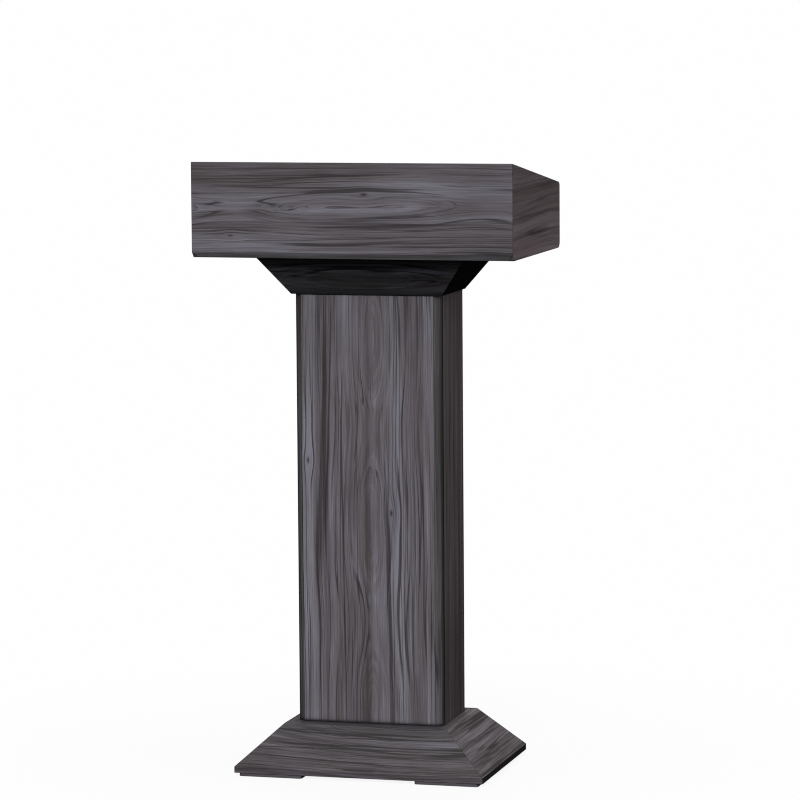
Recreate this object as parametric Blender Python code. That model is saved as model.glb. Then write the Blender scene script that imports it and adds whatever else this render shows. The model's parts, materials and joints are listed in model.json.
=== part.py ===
# Presentation lectern: laminated-board head on a mitred neck, column and sloped base.
# Frame: origin at the centre of the footprint on the floor, +Z up.
# The audience stands on the -Y side (front), the speaker on the +Y side (back),
# and +X is the audience's right. All sizes are in millimetres; objects are in metres.
import math

import bmesh
import bpy
from mathutils import Vector

MM = 0.001
SIDES = ((-1, "left"), (1, "right"))
ENDS = ((-1, "front"), (1, "back"))

# ---------------------------------------------------------------- driving dimensions
GAP = 0.3                         # clearance between neighbouring pieces

# Head
OVERALL_W = 600.0
OVERALL_D = 370.0
OVERALL_H = 1130.0                # floor to the front top edge
HEAD_HW = OVERALL_W / 2
HEAD_HD = OVERALL_D / 2
HEAD_T = 18.0                     # board thickness
HEAD_Z0 = 956.0                   # underside of the front and side boards
HEAD_REAR_TOP = 1078.0            # rim height on the speaker's side
RIM_SLOPE = (OVERALL_H - HEAD_REAR_TOP) / OVERALL_D
HEAD_CHAMFER = 10.0               # along the lower front edge
HEAD_BOTTOM_Z = 958.0             # underside of the bottom board
HEAD_R_LOW = 12.0                 # lower rear corner of the side boards
HEAD_R_TOP = 7.0                  # upper rear corner of the side boards
HEAD_INNER_X = HEAD_HW - HEAD_T - GAP   # reach of the pieces between the side boards
HEAD_INNER_Y0 = -HEAD_HD + HEAD_T + GAP
REAR_Y = 183.0                    # rear faces of bottom board, paper stop and drawer front

DESK_RECESS = 14.0                # reading surface below the rim, square to it
DESK_T = 16.0
SLAB_BLANK_Z0 = 1000.0            # bottom of the blanks that sloped slabs are cut from
CLEAT_W = 12.0
CLEAT_H = 14.0
CLEAT_HD = 150.0
LEDGE_Y0 = 167.3                  # paper stop
LEDGE_Z = (1049.0, 1082.0)
LEDGE_R = 3.0

# Base
BASE_TOP_Z = 92.0
BASE_TOP = (155.0, 114.0)         # half sizes of the level ledge
BASE_FOOT = (235.5, 169.5)        # half sizes of the upright band at the bottom
BASE_BAND_Z = 17.5
BASE_Z0 = 6.0
BASE_BOARD_T = 16.0
SKIRT_T = 16.0                    # measured level
RAIL_X = (105.0, 123.0)
RAIL_HD = 84.0
FOOT_L, FOOT_W, FOOT_R = 120.0, 80.0, 5.0
FOOT_OUTER_X, FOOT_OUTER_Y = 226.5, 168.5

# Column
COL_HW = 138.5                    # half width
COL_HD = 82.0                     # half depth
COL_T = 16.0
COL_INNER_X = COL_HW - COL_T      # inner faces of the side panels
COL_INNER_Y0 = -COL_HD + COL_T + GAP
COL_Z0 = BASE_TOP_Z + GAP
COL_Z1 = 884.0
COL_END_T = 18.0                  # top and bottom boards
COL_CHAMFER = 13.0                # vertical edges of the front panel
COL_GROOVE_W = 3.0                # shadow groove between front and side panels
COL_GROOVE_DEEP = 6.0

SHELF_Z = 478.0
SHELF_T = 16.0
SHELF_Y1 = 60.0
SHELF_END_GAP = 1.0               # to the side panels
PIN_R = 2.4
PIN_TIP = 0.5                     # chamfer on both pin ends
PIN_Z = SHELF_Z - PIN_R - GAP
PIN_PITCH = 120.0
PIN_YS = (-45.0, 40.0)
PIN_INSIDE = 8.5                  # length standing out of the panel
PIN_END_GAP = 0.6                 # to the bottom of the hole
PIN_HOLE_R = 2.8
PIN_HOLE_DEEP = 8.0
CUTTER_OVERRUN = 4.0

# Neck
NECK_Z0 = COL_Z1 + GAP
NECK_Z1 = HEAD_BOTTOM_Z - GAP
NECK_BOTTOM = (143.0, 85.0)       # half sizes
NECK_TOP = (199.0, 132.0)         # half sizes
NECK_T = 12.0                     # wall, measured level
BEARER_X = (100.0, 118.0)
BEARER_HD = 66.0

# Door hinges: two upright butt hinges on one axis
HINGE_H = 60.0
HINGE_ZS = (("lower", 210.0), ("upper", 766.0))   # hinge centres
LEAF_T = 1.2
LEAF_W = 17.0
LEAF_OFFSET = 0.2                 # leaf face to the plane through the axis
KNUCKLE_R = 3.0
KNUCKLE_BORE_R = 1.8
KNUCKLE_STEPS = 18
KNUCKLE_SPLIT = 10.0              # height of the knuckle joints from the hinge centre
KNUCKLE_END_GAP = 0.2             # on each side of a joint
HINGE_PIN_R = 1.5
HINGE_HEAD_R = 2.7
HINGE_X = -COL_INNER_X + GAP + LEAF_T + LEAF_OFFSET
HINGE_Y = COL_HD + KNUCKLE_R + 0.4

# Door and catch
DOOR_END_GAP = 2.2                # above and below
DOOR_X = (HINGE_X + LEAF_OFFSET + LEAF_T + GAP, 120.5)
DOOR_Y0 = COL_HD - COL_T
DOOR_Z = (COL_Z0 + COL_END_T + DOOR_END_GAP, COL_Z1 - COL_END_T - DOOR_END_GAP)
KNOB_X, KNOB_Z = 98.0, 500.0
STRIKE_Y0 = 64.9

# Drawer
DRAWER_HW = 269.0
DRAWER_SIDE_T = 12.0
DRAWER_BACK_T = 12.0
DRAWER_Z = (984.0, 1040.0)
DRAWER_Y0 = -133.0
DRAWER_FLOOR_Z = (990.0, 996.0)
DRAWER_GROOVE = 5.0               # depth of the floor groove in the sides
DRAWER_FRONT_Z = (978.5, 1046.0)
DRAWER_FRONT_MID_Z = sum(DRAWER_FRONT_Z) / 2
DRAWER_FRONT_HW = 279.5
DRAWER_FRONT_R = 0.4
DRAWER_FRONT_Y0 = 167.0
PULL_W, PULL_H = 112.0, 34.0

# Telescopic slides
SLIDE_Z = 1008.0                  # centre height
SLIDE_Y = (-134.0, 164.0)
SLIDE_T = 1.0

# name: (linear colour, roughness, metallic)
FINISHES = {
    "laminate": ((0.110, 0.096, 0.108), 0.46, 0.0),
    "laminate_side": ((0.082, 0.070, 0.074), 0.48, 0.0),
    "laminate_neck": ((0.060, 0.056, 0.060), 0.50, 0.0),
    "board_inside": ((0.120, 0.112, 0.112), 0.60, 0.0),
    "timber": ((0.420, 0.300, 0.190), 0.70, 0.0),
    "steel": ((0.560, 0.570, 0.580), 0.32, 1.0),
    "dark_metal": ((0.090, 0.090, 0.095), 0.38, 0.9),
    "black_plastic": ((0.018, 0.018, 0.020), 0.55, 0.0),
}


# ---------------------------------------------------------------- scene and objects
def clear_scene():
    for old in list(bpy.data.objects):
        bpy.data.objects.remove(old, do_unlink=True)


def material_for(name, finish):
    colour, roughness, metallic = FINISHES[finish]
    material = bpy.data.materials.new("mat_" + name)
    material.use_nodes = True
    shader = material.node_tree.nodes["Principled BSDF"]
    shader.inputs["Base Color"].default_value = (*colour, 1.0)
    shader.inputs["Roughness"].default_value = roughness
    shader.inputs["Metallic"].default_value = metallic
    material.diffuse_color = (*colour, 1.0)
    return material


def empty_at(name, point):
    marker = bpy.data.objects.new(name, None)
    marker.location = Vector(point) * MM
    bpy.context.collection.objects.link(marker)
    return marker


def add_piece(name, solid, finish, parent=None, smooth=False):
    """Turn a bmesh drawn in millimetres in the world frame into an object.
    Its origin is the parent's, or the centre of its bounding box if it has none."""
    bmesh.ops.recalc_face_normals(solid, faces=solid.faces[:])
    # A negative volume means the normals came out pointing inwards.
    if sum(f.calc_area() * f.normal.dot(f.calc_center_median()) for f in solid.faces) < 0:
        bmesh.ops.reverse_faces(solid, faces=solid.faces[:])
    if parent:
        origin = parent.location / MM
    else:
        columns = list(zip(*(v.co for v in solid.verts)))
        origin = Vector([(min(values) + max(values)) / 2 for values in columns])
    for v in solid.verts:
        v.co = (v.co - origin) * MM
    mesh = bpy.data.meshes.new(name)
    solid.to_mesh(mesh)
    solid.free()
    if smooth:
        mesh.shade_smooth()
        mesh.set_sharp_from_angle(angle=math.radians(35))
    piece = bpy.data.objects.new(name, mesh)
    if parent:
        piece.parent = parent
    else:
        piece.location = origin * MM
    mesh.materials.append(material_for(name, finish))
    bpy.context.collection.objects.link(piece)
    return piece


# ---------------------------------------------------------------- modelling helpers
def box(corner, opposite):
    """Box between two opposite corners, given in either order."""
    spans = [sorted(pair) for pair in zip(corner, opposite)]
    solid = bmesh.new()
    bmesh.ops.create_cube(solid, size=1.0)
    for v in solid.verts:
        v.co = Vector([(lo + hi) / 2 + c * (hi - lo) for (lo, hi), c in zip(spans, v.co)])
    return solid


def add_board(name, corner, opposite, finish, parent=None):
    return add_piece(name, box(corner, opposite), finish, parent)


def cut_by_plane(solid, plane_points, keep, gap=0.0):
    """Slice a closed solid by the plane through three points, cap the cut and keep the
    side holding the point keep, less a layer gap thick."""
    first, second, third = (Vector(p) for p in plane_points)
    normal = (second - first).cross(third - first).normalized()
    if normal.dot(Vector(keep) - first) > 0:
        normal = -normal
    cut = bmesh.ops.bisect_plane(solid, geom=solid.verts[:] + solid.edges[:] + solid.faces[:],
                                 dist=1e-5, plane_co=first - normal * gap, plane_no=normal,
                                 clear_outer=True, clear_inner=False)
    edges = [e for e in cut["geom_cut"] if isinstance(e, bmesh.types.BMEdge)]
    bmesh.ops.contextual_create(solid, geom=edges)


def round_edges(solid, test, radius, segments):
    """Round every edge whose two end points satisfy test."""
    edges = [e for e in solid.edges if test(e.verts[0].co) and test(e.verts[1].co)]
    bmesh.ops.bevel(solid, geom=edges, offset=radius, offset_type="OFFSET", segments=segments,
                    profile=0.5, affect="EDGES", clamp_overlap=True)


def loft(loops, closed_ring=False):
    """Skin a chain of equal-length point loops; cap both ends unless the chain closes."""
    solid = bmesh.new()
    rows = [[solid.verts.new(p) for p in loop] for loop in loops]
    count = len(rows[0])
    for k in range(len(rows) if closed_ring else len(rows) - 1):
        row, following = rows[k], rows[(k + 1) % len(rows)]
        for i in range(count):
            j = (i + 1) % count
            solid.faces.new((row[i], row[j], following[j], following[i]))
    if not closed_ring:
        solid.faces.new(rows[0])
        solid.faces.new(rows[-1])
    return solid


def ring(outline, axis, along):
    """Lift a flat outline to 3D points at one place along the axis."""
    points = []
    for pair in outline:
        point = list(pair)
        point.insert("XYZ".index(axis), along)
        points.append(point)
    return points


def prism(outline, axis, start, end):
    return loft([ring(outline, axis, start), ring(outline, axis, end)])


def turned(profile, centre, axis, segments):
    """Solid of revolution from (radius, distance along the axis) pairs."""
    angles = [2 * math.pi * i / segments for i in range(segments)]
    loops = []
    for radius, along in profile:
        circle = [(radius * math.cos(a), radius * math.sin(a)) for a in angles]
        loops.append([[c + d for c, d in zip(centre, point)]
                      for point in ring(circle, axis, along)])
    return loft(loops)


def rounded_rect(width, height, radius, steps=4):
    """Rectangle outline centred on zero, with steps segments to each corner."""
    right, top = width / 2 - radius, height / 2 - radius
    points = []
    for x, y, start in ((right, top, 0), (-right, top, 90),
                        (-right, -top, 180), (right, -top, 270)):
        for i in range(steps + 1):
            a = math.radians(start + 90.0 * i / steps)
            points.append((x + radius * math.cos(a), y + radius * math.sin(a)))
    return points


# ---------------------------------------------------------------- head
def rim_z(y, drop=0.0):
    """Height of the plane parallel to the sloped rim, drop below it measured square."""
    return OVERALL_H - (y + HEAD_HD) * RIM_SLOPE - drop * math.hypot(1.0, RIM_SLOPE)


def cut_rim(solid, drop=0.0, keep_z=0.0):
    """Cut parallel to the rim; keep_z is a height at y = 0 on the side that stays."""
    front_z = rim_z(-HEAD_HD, drop)
    plane = ((0, -HEAD_HD, front_z), (100, -HEAD_HD, front_z), (0, HEAD_HD, rim_z(HEAD_HD, drop)))
    cut_by_plane(solid, plane, (0, 0, keep_z))


def cut_front_chamfer(solid):
    z = HEAD_Z0 + HEAD_CHAMFER
    plane = ((0, -HEAD_HD, z), (100, -HEAD_HD, z), (0, -HEAD_HD + HEAD_CHAMFER, HEAD_Z0))
    cut_by_plane(solid, plane, (0, 0, OVERALL_H))


def cut_front_mitre(solid, side, keep):
    """Upright 45 degree cut at a front corner of the head."""
    x = side * HEAD_HW
    plane = ((x, -HEAD_HD, 0), (x, -HEAD_HD, 10), (side * (HEAD_HW - HEAD_T), -HEAD_HD + HEAD_T, 0))
    cut_by_plane(solid, plane, keep, GAP / 2)


def add_head_front_board():
    solid = box((-HEAD_HW, -HEAD_HD, HEAD_Z0), (HEAD_HW, -HEAD_HD + HEAD_T, OVERALL_H))
    for side, _ in SIDES:
        cut_front_mitre(solid, side, (0, -HEAD_HD + 1, 1000))
    cut_rim(solid)
    cut_front_chamfer(solid)
    add_piece("head_front_board", solid, "laminate")


def add_head_side_board(side, side_name):
    solid = box((side * HEAD_HW, -HEAD_HD, HEAD_Z0),
                (side * (HEAD_HW - HEAD_T), HEAD_HD, OVERALL_H))
    cut_rim(solid)
    rear_top = rim_z(HEAD_HD)
    round_edges(solid, lambda p: p.y > HEAD_HD - 0.01 and p.z < HEAD_Z0 + 0.01, HEAD_R_LOW, 6)
    round_edges(solid, lambda p: p.y > HEAD_HD - 0.01 and abs(p.z - rear_top) < 0.01,
                HEAD_R_TOP, 5)
    cut_front_mitre(solid, side, (side * (HEAD_HW - 4), 100, 1000))
    cut_front_chamfer(solid)
    add_piece("head_%s_side" % side_name, solid, "laminate_side")


def sloped_slab(x_span, y_span, drop, thickness):
    """Slab parallel to the rim, its top face drop below the rim."""
    solid = box((x_span[0], y_span[0], SLAB_BLANK_Z0), (x_span[1], y_span[1], OVERALL_H))
    cut_rim(solid, drop)
    cut_rim(solid, drop + thickness, keep_z=OVERALL_H)
    return solid


def add_desktop():
    solid = sloped_slab((-HEAD_INNER_X, HEAD_INNER_X), (HEAD_INNER_Y0, LEDGE_Y0 - GAP),
                        DESK_RECESS, DESK_T)
    add_piece("desktop", solid, "laminate")
    for side, side_name in SIDES:
        solid = sloped_slab((side * HEAD_INNER_X, side * (HEAD_INNER_X - CLEAT_W)),
                            (-CLEAT_HD, CLEAT_HD), DESK_RECESS + DESK_T + GAP, CLEAT_H)
        add_piece("desktop_%s_cleat" % side_name, solid, "timber")


def add_paper_stop():
    solid = box((-HEAD_INNER_X, LEDGE_Y0, LEDGE_Z[0]), (HEAD_INNER_X, REAR_Y, LEDGE_Z[1]))
    round_edges(solid, lambda p: p.z > LEDGE_Z[1] - 0.01, LEDGE_R, 3)
    add_piece("paper_stop", solid, "laminate")


def add_head():
    add_head_front_board()
    for side, side_name in SIDES:
        add_head_side_board(side, side_name)
    add_desktop()
    add_paper_stop()
    add_board("head_bottom_board", (-HEAD_INNER_X, HEAD_INNER_Y0, HEAD_BOTTOM_Z),
              (HEAD_INNER_X, REAR_Y, HEAD_BOTTOM_Z + HEAD_T), "laminate_side")


# ---------------------------------------------------------------- neck and base
def mitred_board(wall, outer, inner):
    """One board of a four-sided frame. outer and inner list (half width, half depth, z)
    down the board's faces; the ends are mitred along the corner edges."""
    trim = GAP * 0.7

    def end_point(half_w, half_d, z, end):
        if wall in ("front", "back"):
            return (end * (half_w - trim), -half_d if wall == "front" else half_d, z)
        return (-half_w if wall == "left" else half_w, end * (half_d - trim), z)

    solid = bmesh.new()
    lo_out, lo_in, hi_out, hi_in = (
        [solid.verts.new(end_point(*station, end)) for station in face]
        for end in (-1, 1) for face in (outer, inner))
    for k in range(len(outer) - 1):
        solid.faces.new((lo_out[k], hi_out[k], hi_out[k + 1], lo_out[k + 1]))
        solid.faces.new((hi_in[k], lo_in[k], lo_in[k + 1], hi_in[k + 1]))
        solid.faces.new((lo_out[k], lo_out[k + 1], lo_in[k + 1], lo_in[k]))
        solid.faces.new((hi_out[k + 1], hi_out[k], hi_in[k], hi_in[k + 1]))
    solid.faces.new((hi_out[0], lo_out[0], lo_in[0], hi_in[0]))
    solid.faces.new((lo_out[-1], hi_out[-1], hi_in[-1], lo_in[-1]))
    return solid


def add_mitred_frame(name_pattern, outer, thickness, finish, side_finish):
    inner = [(half_w - thickness, half_d - thickness, z) for half_w, half_d, z in outer]
    for wall in ("front", "back", "left", "right"):
        add_piece(name_pattern % wall, mitred_board(wall, outer, inner),
                  finish if wall in ("front", "back") else side_finish)


def add_neck():
    outer = [(*NECK_TOP, NECK_Z1), (*NECK_BOTTOM, NECK_Z0)]
    add_mitred_frame("neck_%s_panel", outer, NECK_T, "laminate_neck", "laminate_neck")
    for side, side_name in SIDES:
        add_board("neck_%s_bearer" % side_name, (side * BEARER_X[0], -BEARER_HD, NECK_Z0),
                  (side * BEARER_X[1], BEARER_HD, NECK_Z1), "timber")


def add_base():
    outer = [(*BASE_TOP, BASE_TOP_Z), (*BASE_FOOT, BASE_BAND_Z), (*BASE_FOOT, BASE_Z0)]
    add_mitred_frame("base_%s_skirt", outer, SKIRT_T, "laminate", "laminate_side")
    board_z0 = BASE_TOP_Z - BASE_BOARD_T
    x, y = (half - SKIRT_T - GAP for half in BASE_TOP)
    add_board("base_top_board", (-x, -y, board_z0), (x, y, BASE_TOP_Z), "laminate_side")
    x, y = (half - SKIRT_T - GAP for half in BASE_FOOT)
    add_board("base_bottom_board", (-x, -y, BASE_Z0 + GAP), (x, y, BASE_BAND_Z), "board_inside")
    for side, side_name in SIDES:
        add_board("base_%s_rail" % side_name, (side * RAIL_X[0], -RAIL_HD, BASE_BAND_Z + GAP),
                  (side * RAIL_X[1], RAIL_HD, board_z0 - GAP), "timber")
        for end, end_name in ENDS:
            outline = [(side * (FOOT_OUTER_X - FOOT_L / 2) + x, end * (FOOT_OUTER_Y - FOOT_W / 2) + y)
                       for x, y in rounded_rect(FOOT_L, FOOT_W, FOOT_R)]
            add_piece("foot_%s_%s" % (end_name, side_name),
                      prism(outline, "Z", 0.0, BASE_Z0 - GAP), "laminate")


# ---------------------------------------------------------------- column
def add_column_front_panel():
    back, front = -COL_HD + COL_T, -COL_HD
    outline = [
        (-COL_HW, back), (-COL_HW, front + COL_CHAMFER), (-COL_HW + COL_CHAMFER, front),
        (COL_HW - COL_CHAMFER, front), (COL_HW, front + COL_CHAMFER), (COL_HW, back),
    ]
    add_piece("column_front_panel", prism(outline, "Z", COL_Z0, COL_Z1), "laminate")


def add_column_side_panel(side, side_name):
    """Side panel with the groove in its front edge and blind holes for the shelf pins."""
    groove_x = COL_HW - COL_GROOVE_DEEP
    groove_y = COL_INNER_Y0 + COL_GROOVE_W
    outline = [
        (COL_INNER_X, COL_INNER_Y0), (groove_x, COL_INNER_Y0), (groove_x, groove_y),
        (COL_HW, groove_y), (COL_HW, COL_HD), (COL_INNER_X, COL_HD),
    ]
    outline = [(side * x, y) for x, y in outline]
    panel = add_piece("column_%s_panel" % side_name, prism(outline, "Z", COL_Z0, COL_Z1),
                      "laminate_side")
    holes = [(y, PIN_Z + level * PIN_PITCH) for level in (-1, 0, 1) for y in PIN_YS]
    ends = sorted(side * (COL_INNER_X + reach) for reach in (-CUTTER_OVERRUN, PIN_HOLE_DEEP))
    for i, (y, z) in enumerate(holes):
        solid = turned([(PIN_HOLE_R, x) for x in ends], (0, y, z), "X", 12)
        cutter = add_piece("cutter_pin_%s_%d" % (side_name, i), solid, "steel")
        cutter.hide_render = True
        cutter.display_type = "WIRE"
        hole = panel.modifiers.new("pin_hole_%d" % i, "BOOLEAN")
        hole.operation = "DIFFERENCE"
        hole.solver = "EXACT"
        hole.object = cutter


def add_shelf_pins(side, side_name):
    lo, hi = sorted(side * (COL_INNER_X + reach)
                    for reach in (-PIN_INSIDE, PIN_HOLE_DEEP - PIN_END_GAP))
    profile = [(PIN_R - PIN_TIP, lo), (PIN_R, lo + PIN_TIP),
               (PIN_R, hi - PIN_TIP), (PIN_R - PIN_TIP, hi)]
    for y, (_, end_name) in zip(PIN_YS, ENDS):
        add_piece("shelf_pin_%s_%s" % (side_name, end_name),
                  turned(profile, (0, y, PIN_Z), "X", 14), "steel", smooth=True)


def add_column():
    add_column_front_panel()
    for side, side_name in SIDES:
        add_column_side_panel(side, side_name)
        add_shelf_pins(side, side_name)
    x = COL_INNER_X - GAP
    for end_name, z in (("top", COL_Z1 - COL_END_T), ("bottom", COL_Z0)):
        add_board("column_%s_board" % end_name, (-x, COL_INNER_Y0, z), (x, COL_HD, z + COL_END_T),
                  "board_inside")
    x = COL_INNER_X - SHELF_END_GAP
    add_board("column_shelf", (-x, COL_INNER_Y0 + 1, SHELF_Z), (x, SHELF_Y1, SHELF_Z + SHELF_T),
              "board_inside")


# ---------------------------------------------------------------- door, catch and hinges
# (radius, distance behind the door's rear face)
KNOB_PROFILE = [
    (5.5, GAP), (5.5, 8.0), (7.0, 11.0), (12.0, 14.0),
    (14.0, 17.0), (14.0, 19.5), (12.5, 21.6), (8.0, 22.6),
]


def add_door(hinge_axis):
    """Door with its knob and the strike plate; the magnet stays on the column."""
    add_board("column_door", (DOOR_X[0], DOOR_Y0, DOOR_Z[0]), (DOOR_X[1], COL_HD, DOOR_Z[1]),
              "laminate_side", hinge_axis)
    add_piece("door_knob", turned(KNOB_PROFILE, (KNOB_X, COL_HD, KNOB_Z), "Y", 24),
              "steel", hinge_axis, smooth=True)
    add_board("catch_magnet", (85, 38, 851), (118, STRIKE_Y0 - GAP, COL_Z1 - COL_END_T - GAP),
              "black_plastic")
    add_board("catch_strike", (88, STRIKE_Y0, 848), (115, DOOR_Y0 - GAP, 862), "steel",
              hinge_axis)


def leaf_outlines(side):
    """Plan of one hinge leaf, side = -1 for the frame's and +1 for the door's.
    Returns the flat sheet and the points of the rolled knuckle, which runs from the
    sheet's third point round to its fourth."""
    near, far = LEAF_OFFSET, LEAF_OFFSET + LEAF_T
    x_near, x_far = HINGE_X + side * near, HINGE_X + side * far
    y_end = COL_HD
    y_start = y_end - LEAF_W
    sheet = [(x_near, y_start), (x_far, y_start), (x_far, y_end), (x_near, y_end)]

    # Angles about the hinge axis where the leaf's two faces meet the knuckle's outside.
    a_far = math.atan2(-math.sqrt(KNUCKLE_R ** 2 - far ** 2), far)
    a_near = math.atan2(-math.sqrt(KNUCKLE_R ** 2 - near ** 2), near)
    a_tip = a_near - math.radians(14) + 2 * math.pi
    arcs = ((KNUCKLE_R, a_far, a_tip), (KNUCKLE_BORE_R, a_tip, a_near + math.radians(4)))
    polar = [(radius, start + (stop - start) * i / KNUCKLE_STEPS)
             for radius, start, stop in arcs for i in range(KNUCKLE_STEPS + 1)]
    polar.append((KNUCKLE_R, a_near))
    roll = [(HINGE_X + side * r * math.cos(a), HINGE_Y + r * math.sin(a)) for r, a in polar]
    return sheet, roll


def add_hinge_leaf(name, side, z_mid, bands, parent=None):
    """Flat leaf over the full height with rolled knuckles on the given height bands,
    which are (bottom, top) from the hinge centre."""
    sheet, roll = leaf_outlines(side)
    levels = sorted({-HINGE_H / 2, HINGE_H / 2, *[z for band in bands for z in band]})
    rolled = [any(lo < (bottom + top) / 2 < hi for lo, hi in bands)
              for bottom, top in zip(levels, levels[1:])]
    below = [False] + rolled
    above = rolled + [False]

    solid = bmesh.new()
    sheet_rows = [[solid.verts.new((x, y, z_mid + z)) for x, y in sheet] for z in levels]
    roll_rows = []
    for k, z in enumerate(levels):
        row = None
        if below[k] or above[k]:
            row = [solid.verts.new((x, y, z_mid + z)) for x, y in roll]
            row = [sheet_rows[k][2], *row, sheet_rows[k][3]]
        roll_rows.append(row)

    for k, has_roll in enumerate(rolled):
        lower, upper = sheet_rows[k], sheet_rows[k + 1]
        for i in (3, 0, 1):
            j = (i + 1) % 4
            solid.faces.new((lower[i], lower[j], upper[j], upper[i]))
        if not has_roll:
            solid.faces.new((lower[2], lower[3], upper[3], upper[2]))
            continue
        lower, upper = roll_rows[k], roll_rows[k + 1]
        for i in range(len(lower) - 1):
            solid.faces.new((lower[i], lower[i + 1], upper[i + 1], upper[i]))
    solid.faces.new(sheet_rows[0])
    solid.faces.new(sheet_rows[-1])
    for k, row in enumerate(roll_rows):
        if below[k] != above[k]:
            solid.faces.new(row)
    add_piece(name, solid, "steel", parent)


def add_hinge_pin(name, z_mid):
    """Pin with a chamfered head at each end, just clear of the knuckles."""
    shoulder = HINGE_H / 2 + 0.4
    half = [(HINGE_PIN_R, shoulder), (HINGE_HEAD_R, shoulder),
            (HINGE_HEAD_R, shoulder + 2.0), (HINGE_HEAD_R - 0.8, shoulder + 2.8)]
    profile = [(radius, -z) for radius, z in reversed(half)] + half
    add_piece(name, turned(profile, (HINGE_X, HINGE_Y, z_mid), "Z", 18), "steel", smooth=True)


def add_hinges(hinge_axis):
    half = HINGE_H / 2
    outer_start = KNUCKLE_SPLIT + KNUCKLE_END_GAP
    inner_end = KNUCKLE_SPLIT - KNUCKLE_END_GAP
    for tag, z_mid in HINGE_ZS:
        add_hinge_leaf("hinge_%s_frame_leaf" % tag, -1, z_mid,
                       [(-half, -outer_start), (outer_start, half)])
        add_hinge_leaf("hinge_%s_door_leaf" % tag, 1, z_mid, [(-inner_end, inner_end)],
                       hinge_axis)
        add_hinge_pin("hinge_%s_pin" % tag, z_mid)


# ---------------------------------------------------------------- drawer
# Pull, from the bottom of the well's outside, over the flange and down into the recess:
# (width and height less than the flange's, corner radius, y)
PULL_STATIONS = [
    (8.0, 5.7, DRAWER_FRONT_Y0 + 1.0),
    (8.0, 5.7, REAR_Y + GAP),
    (0.0, 9.0, REAR_Y + GAP),
    (0.0, 9.0, REAR_Y + 1.2),
    (1.4, 8.4, REAR_Y + 1.7),
    (11.0, 4.5, REAR_Y + 1.7),
    (13.0, 4.0, DRAWER_FRONT_Y0 + 2.5),
]


def front_ring(width, height, radius, y):
    """Rounded rectangle centred on the drawer front."""
    outline = [(x, DRAWER_FRONT_MID_Z + z) for x, z in rounded_rect(width, height, radius)]
    return ring(outline, "Y", y)


def add_drawer_front(slide_axis):
    """Drawer front with a hole for the pull, and the pull itself."""
    outside = (2 * DRAWER_FRONT_HW, DRAWER_FRONT_Z[1] - DRAWER_FRONT_Z[0], DRAWER_FRONT_R)
    hole = (PULL_W - 7.0, PULL_H - 7.0, 6.0)
    rings = [front_ring(*outside, DRAWER_FRONT_Y0), front_ring(*outside, REAR_Y),
             front_ring(*hole, REAR_Y), front_ring(*hole, DRAWER_FRONT_Y0)]
    add_piece("drawer_front", loft(rings, closed_ring=True), "laminate", slide_axis)
    rings = [front_ring(PULL_W - less, PULL_H - less, radius, y)
             for less, radius, y in PULL_STATIONS]
    add_piece("drawer_pull", loft(rings), "dark_metal", slide_axis)


def add_drawer_box(slide_axis):
    inner_x = DRAWER_HW - DRAWER_SIDE_T
    groove_x = inner_x + DRAWER_GROOVE
    groove_z0, groove_z1 = DRAWER_FLOOR_Z[0] - GAP, DRAWER_FLOOR_Z[1] + GAP
    y_end = DRAWER_FRONT_Y0 - GAP
    side_outline = [
        (DRAWER_HW, DRAWER_Z[0]), (DRAWER_HW, DRAWER_Z[1]), (inner_x, DRAWER_Z[1]),
        (inner_x, groove_z1), (groove_x, groove_z1), (groove_x, groove_z0),
        (inner_x, groove_z0), (inner_x, DRAWER_Z[0]),
    ]
    for side, side_name in SIDES:
        outline = [(side * x, z) for x, z in side_outline]
        add_piece("drawer_%s_side" % side_name, prism(outline, "Y", DRAWER_Y0, y_end),
                  "board_inside", slide_axis)
    x = groove_x - GAP
    add_board("drawer_bottom", (-x, DRAWER_Y0, DRAWER_FLOOR_Z[0]), (x, y_end, DRAWER_FLOOR_Z[1]),
              "board_inside", slide_axis)
    x = inner_x - GAP
    add_board("drawer_back", (-x, DRAWER_Y0, groove_z1),
              (x, DRAWER_Y0 + DRAWER_BACK_T, DRAWER_Z[1]), "board_inside", slide_axis)


# ---------------------------------------------------------------- telescopic slides
def add_channel(name, side, x_web, x_lip, half_h, parent):
    """Folded steel channel: web at x_web, lips reaching to x_lip."""
    z0, z1 = SLIDE_Z - half_h, SLIDE_Z + half_h
    x_fold = x_web - math.copysign(SLIDE_T, x_web - x_lip)
    outline = [
        (x_web, z0), (x_web, z1), (x_lip, z1), (x_lip, z1 - SLIDE_T),
        (x_fold, z1 - SLIDE_T), (x_fold, z0 + SLIDE_T), (x_lip, z0 + SLIDE_T), (x_lip, z0),
    ]
    outline = [(side * x, z) for x, z in outline]
    add_piece(name, prism(outline, "Y", *SLIDE_Y), "steel", parent)


def add_slides(middle_axis, slide_axis):
    # part, x of the web, x of the lip ends, half height, parent
    channels = (
        ("outer", HEAD_INNER_X, 271.7, 18.0, None),
        ("middle", 279.2, 272.7, 15.5, middle_axis),
        ("inner", DRAWER_HW + GAP, 276.5, 12.0, slide_axis),
    )
    for side, side_name in SIDES:
        for part, *shape, parent in channels:
            add_channel("slide_%s_%s" % (side_name, part), side, *shape, parent)


# ---------------------------------------------------------------- assembly
clear_scene()
# The drawer and middle slides move along Y; the door turns about an upright axis.
drawer_axis = empty_at("axis_drawer_slide", (0.0, 0.0, SLIDE_Z))
middle_slide_axis = empty_at("axis_slide_middle", (0.0, 0.0, SLIDE_Z))
door_axis = empty_at("axis_door_hinge", (HINGE_X, HINGE_Y, sum(DOOR_Z) / 2))

add_head()
add_neck()
add_base()
add_column()
add_door(door_axis)
add_hinges(door_axis)
add_drawer_front(drawer_axis)
add_drawer_box(drawer_axis)
add_slides(middle_slide_axis, drawer_axis)
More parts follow.
